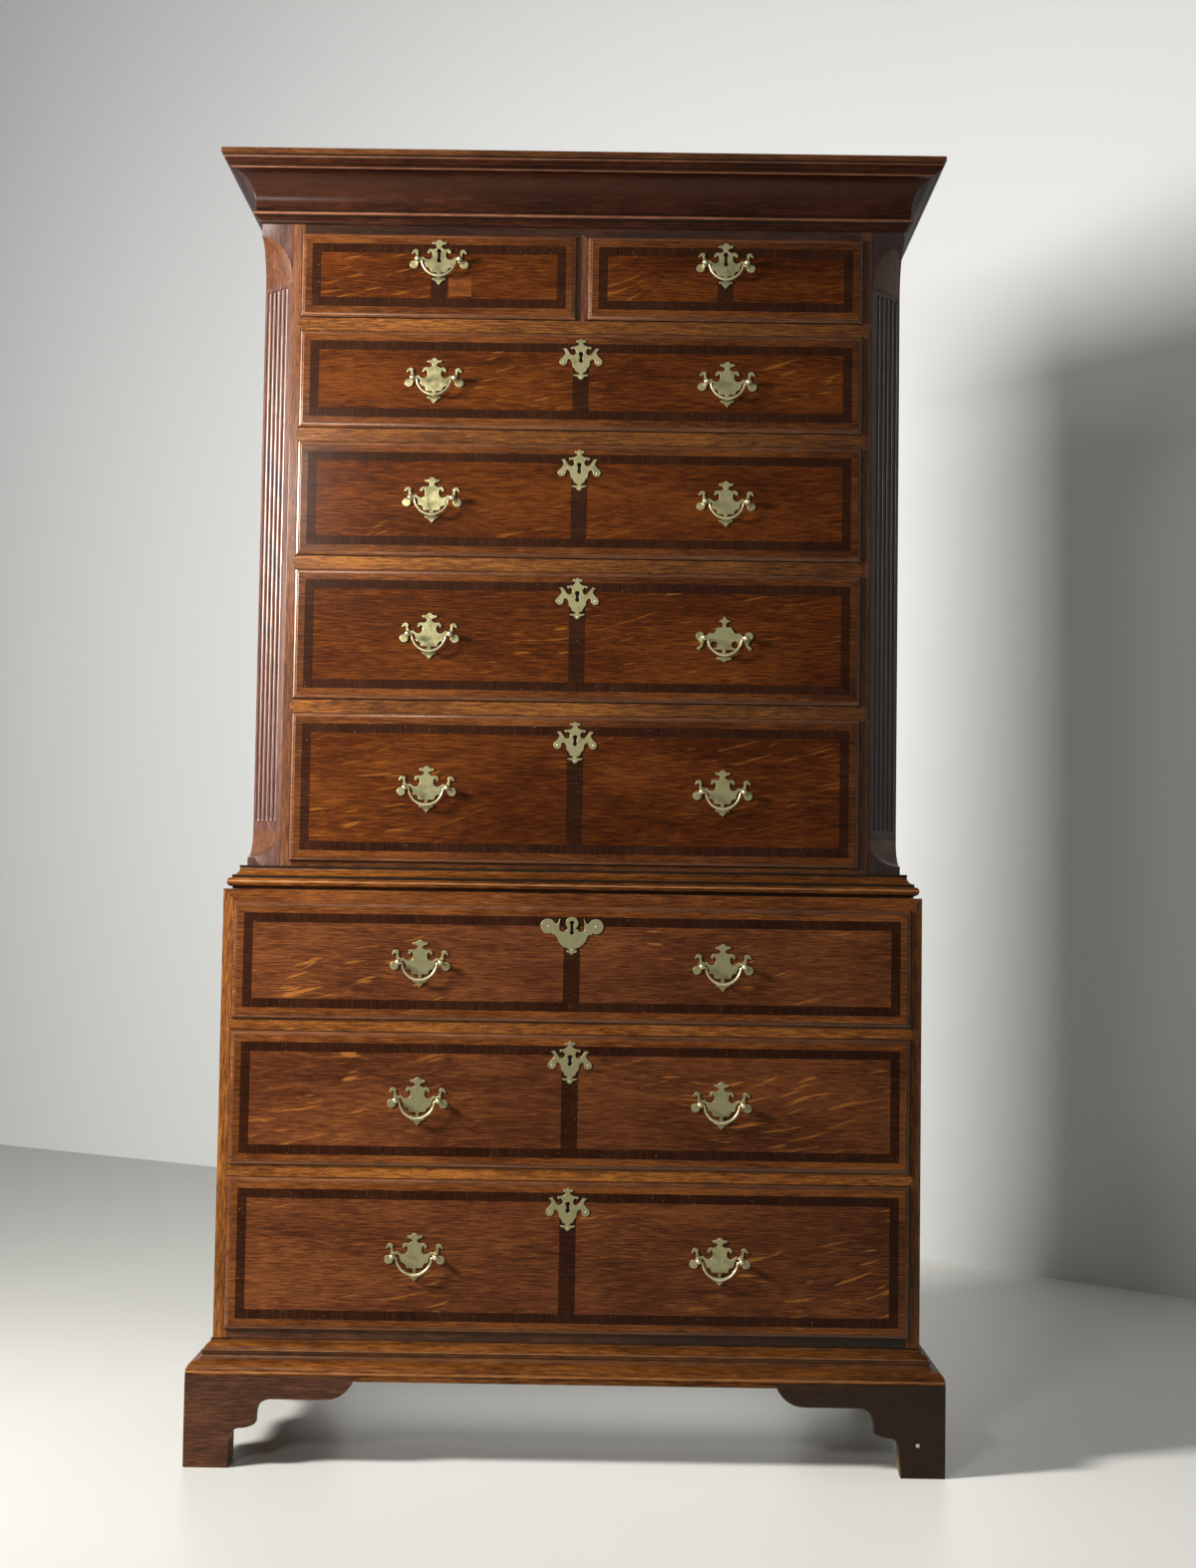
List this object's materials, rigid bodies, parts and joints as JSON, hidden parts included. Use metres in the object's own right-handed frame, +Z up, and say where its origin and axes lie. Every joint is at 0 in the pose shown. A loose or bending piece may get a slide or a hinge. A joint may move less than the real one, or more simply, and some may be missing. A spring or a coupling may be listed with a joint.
{
  "type": "chest on chest",
  "caption": "Two-part oak chest of drawers with cove cornice, canted fluted corners, graduated drawers, bracket feet and swinging brass bail handles.",
  "frame": {"origin": "on the floor, under the middle of the bounding box", "axes": "+Z up, +Y towards the back, +X to the right as seen from the front"},
  "size_m": [1.082, 0.573, 1.911],
  "materials": {
    "oak_drawer_front": "waxed quarter-sawn oak, mid brown, crossbanded in dark mahogany, with a moulded edge",
    "oak_case": "waxed oak, golden brown on the rails",
    "dark_oak_moulding": "waxed oak darkened by age and handling",
    "dark_mahogany_brown": "polished dark mahogany",
    "old_back_boards": "bare, dry, unfinished boards",
    "aged_brass": "cast brass with a dull greenish patina, worn bright on the edges"
  },
  "bodies": {
    "carcase": {"lower_left_side": "oak_case", "lower_right_side": "oak_case", "lower_top_and_waist_moulding": "dark_oak_moulding", "lower_bottom_and_base_moulding": "dark_oak_moulding", "lower_back_boards": "old_back_boards", "lower_face_frame": "oak_case", "upper_left_side": "oak_case", "upper_right_side": "oak_case", "upper_left_column": "dark_mahogany_brown", "upper_right_column": "dark_mahogany_brown", "upper_top_board": "old_back_boards", "upper_bottom_board": "oak_case", "upper_back_boards": "old_back_boards", "upper_face_frame": "oak_case", "cornice": "dark_mahogany_brown", "front_left_foot": "dark_oak_moulding", "front_right_foot": "dark_oak_moulding", "back_left_foot": "dark_oak_moulding", "back_right_foot": "dark_oak_moulding"},
    "drawer_1_left_body": {"drawer_1_left": "oak_drawer_front", "drawer_1_left_plate": "aged_brass"},
    "drawer_1_left_bail": {"drawer_1_left_bail": "aged_brass"},
    "drawer_1_right_body": {"drawer_1_right": "oak_drawer_front", "drawer_1_right_plate": "aged_brass"},
    "drawer_1_right_bail": {"drawer_1_right_bail": "aged_brass"},
    "drawer_2_body": {"drawer_2": "oak_drawer_front", "drawer_2_left_plate": "aged_brass", "drawer_2_right_plate": "aged_brass"},
    "drawer_2_left_bail": {"drawer_2_left_bail": "aged_brass"},
    "drawer_2_right_bail": {"drawer_2_right_bail": "aged_brass"},
    "drawer_3_body": {"drawer_3": "oak_drawer_front", "drawer_3_left_plate": "aged_brass", "drawer_3_right_plate": "aged_brass"},
    "drawer_3_left_bail": {"drawer_3_left_bail": "aged_brass"},
    "drawer_3_right_bail": {"drawer_3_right_bail": "aged_brass"},
    "drawer_4_body": {"drawer_4": "oak_drawer_front", "drawer_4_left_plate": "aged_brass", "drawer_4_right_plate": "aged_brass"},
    "drawer_4_left_bail": {"drawer_4_left_bail": "aged_brass"},
    "drawer_4_right_bail": {"drawer_4_right_bail": "aged_brass"},
    "drawer_5_body": {"drawer_5": "oak_drawer_front", "drawer_5_left_plate": "aged_brass", "drawer_5_right_plate": "aged_brass"},
    "drawer_5_left_bail": {"drawer_5_left_bail": "aged_brass"},
    "drawer_5_right_bail": {"drawer_5_right_bail": "aged_brass"},
    "drawer_6_body": {"drawer_6": "oak_drawer_front", "drawer_6_left_plate": "aged_brass", "drawer_6_right_plate": "aged_brass"},
    "drawer_6_left_bail": {"drawer_6_left_bail": "aged_brass"},
    "drawer_6_right_bail": {"drawer_6_right_bail": "aged_brass"},
    "drawer_7_body": {"drawer_7": "oak_drawer_front", "drawer_7_left_plate": "aged_brass", "drawer_7_right_plate": "aged_brass"},
    "drawer_7_left_bail": {"drawer_7_left_bail": "aged_brass"},
    "drawer_7_right_bail": {"drawer_7_right_bail": "aged_brass"},
    "drawer_8_body": {"drawer_8": "oak_drawer_front", "drawer_8_left_plate": "aged_brass", "drawer_8_right_plate": "aged_brass"},
    "drawer_8_left_bail": {"drawer_8_left_bail": "aged_brass"},
    "drawer_8_right_bail": {"drawer_8_right_bail": "aged_brass"}
  },
  "joints": [
    {"name": "drawer_1_left_slide", "type": "slide", "parent": "carcase", "child": "drawer_1_left_body", "axis": [0, -1, 0], "range_m": [0, 0.33]},
    {"name": "drawer_1_left_bail_hinge", "type": "hinge", "parent": "drawer_1_left_body", "child": "drawer_1_left_bail", "pos_m": [-0.2134, -0.244, 1.75845], "axis": [-1, 0, 0], "range_deg": [-15, 150]},
    {"name": "drawer_1_right_slide", "type": "slide", "parent": "carcase", "child": "drawer_1_right_body", "axis": [0, -1, 0], "range_m": [0, 0.33]},
    {"name": "drawer_1_right_bail_hinge", "type": "hinge", "parent": "drawer_1_right_body", "child": "drawer_1_right_bail", "pos_m": [0.2134, -0.244, 1.75845], "axis": [-1, 0, 0], "range_deg": [-15, 150]},
    {"name": "drawer_2_slide", "type": "slide", "parent": "carcase", "child": "drawer_2_body", "axis": [0, -1, 0], "range_m": [0, 0.33]},
    {"name": "drawer_2_left_bail_hinge", "type": "hinge", "parent": "drawer_2_body", "child": "drawer_2_left_bail", "pos_m": [-0.2175, -0.244, 1.58], "axis": [-1, 0, 0], "range_deg": [-15, 150]},
    {"name": "drawer_2_right_bail_hinge", "type": "hinge", "parent": "drawer_2_body", "child": "drawer_2_right_bail", "pos_m": [0.2175, -0.244, 1.58], "axis": [-1, 0, 0], "range_deg": [-15, 150]},
    {"name": "drawer_3_slide", "type": "slide", "parent": "carcase", "child": "drawer_3_body", "axis": [0, -1, 0], "range_m": [0, 0.33]},
    {"name": "drawer_3_left_bail_hinge", "type": "hinge", "parent": "drawer_3_body", "child": "drawer_3_left_bail", "pos_m": [-0.2175, -0.244, 1.4013], "axis": [-1, 0, 0], "range_deg": [-15, 150]},
    {"name": "drawer_3_right_bail_hinge", "type": "hinge", "parent": "drawer_3_body", "child": "drawer_3_right_bail", "pos_m": [0.2175, -0.244, 1.4013], "axis": [-1, 0, 0], "range_deg": [-15, 150]},
    {"name": "drawer_4_slide", "type": "slide", "parent": "carcase", "child": "drawer_4_body", "axis": [0, -1, 0], "range_m": [0, 0.33]},
    {"name": "drawer_4_left_bail_hinge", "type": "hinge", "parent": "drawer_4_body", "child": "drawer_4_left_bail", "pos_m": [-0.2175, -0.244, 1.1991], "axis": [-1, 0, 0], "range_deg": [-15, 150]},
    {"name": "drawer_4_right_bail_hinge", "type": "hinge", "parent": "drawer_4_body", "child": "drawer_4_right_bail", "pos_m": [0.2175, -0.244, 1.1991], "axis": [-1, 0, 0], "range_deg": [-15, 150]},
    {"name": "drawer_5_slide", "type": "slide", "parent": "carcase", "child": "drawer_5_body", "axis": [0, -1, 0], "range_m": [0, 0.33]},
    {"name": "drawer_5_left_bail_hinge", "type": "hinge", "parent": "drawer_5_body", "child": "drawer_5_left_bail", "pos_m": [-0.2175, -0.244, 0.9729], "axis": [-1, 0, 0], "range_deg": [-15, 150]},
    {"name": "drawer_5_right_bail_hinge", "type": "hinge", "parent": "drawer_5_body", "child": "drawer_5_right_bail", "pos_m": [0.2175, -0.244, 0.9729], "axis": [-1, 0, 0], "range_deg": [-15, 150]},
    {"name": "drawer_6_slide", "type": "slide", "parent": "carcase", "child": "drawer_6_body", "axis": [0, -1, 0], "range_m": [0, 0.36]},
    {"name": "drawer_6_left_bail_hinge", "type": "hinge", "parent": "drawer_6_body", "child": "drawer_6_left_bail", "pos_m": [-0.2195, -0.2725, 0.7186], "axis": [-1, 0, 0], "range_deg": [-15, 150]},
    {"name": "drawer_6_right_bail_hinge", "type": "hinge", "parent": "drawer_6_body", "child": "drawer_6_right_bail", "pos_m": [0.2195, -0.2725, 0.7186], "axis": [-1, 0, 0], "range_deg": [-15, 150]},
    {"name": "drawer_7_slide", "type": "slide", "parent": "carcase", "child": "drawer_7_body", "axis": [0, -1, 0], "range_m": [0, 0.36]},
    {"name": "drawer_7_left_bail_hinge", "type": "hinge", "parent": "drawer_7_body", "child": "drawer_7_left_bail", "pos_m": [-0.2195, -0.2725, 0.5203], "axis": [-1, 0, 0], "range_deg": [-15, 150]},
    {"name": "drawer_7_right_bail_hinge", "type": "hinge", "parent": "drawer_7_body", "child": "drawer_7_right_bail", "pos_m": [0.2195, -0.2725, 0.5203], "axis": [-1, 0, 0], "range_deg": [-15, 150]},
    {"name": "drawer_8_slide", "type": "slide", "parent": "carcase", "child": "drawer_8_body", "axis": [0, -1, 0], "range_m": [0, 0.36]},
    {"name": "drawer_8_left_bail_hinge", "type": "hinge", "parent": "drawer_8_body", "child": "drawer_8_left_bail", "pos_m": [-0.2195, -0.2725, 0.2975], "axis": [-1, 0, 0], "range_deg": [-15, 150]},
    {"name": "drawer_8_right_bail_hinge", "type": "hinge", "parent": "drawer_8_body", "child": "drawer_8_right_bail", "pos_m": [0.2195, -0.2725, 0.2975], "axis": [-1, 0, 0], "range_deg": [-15, 150]}
  ]
}
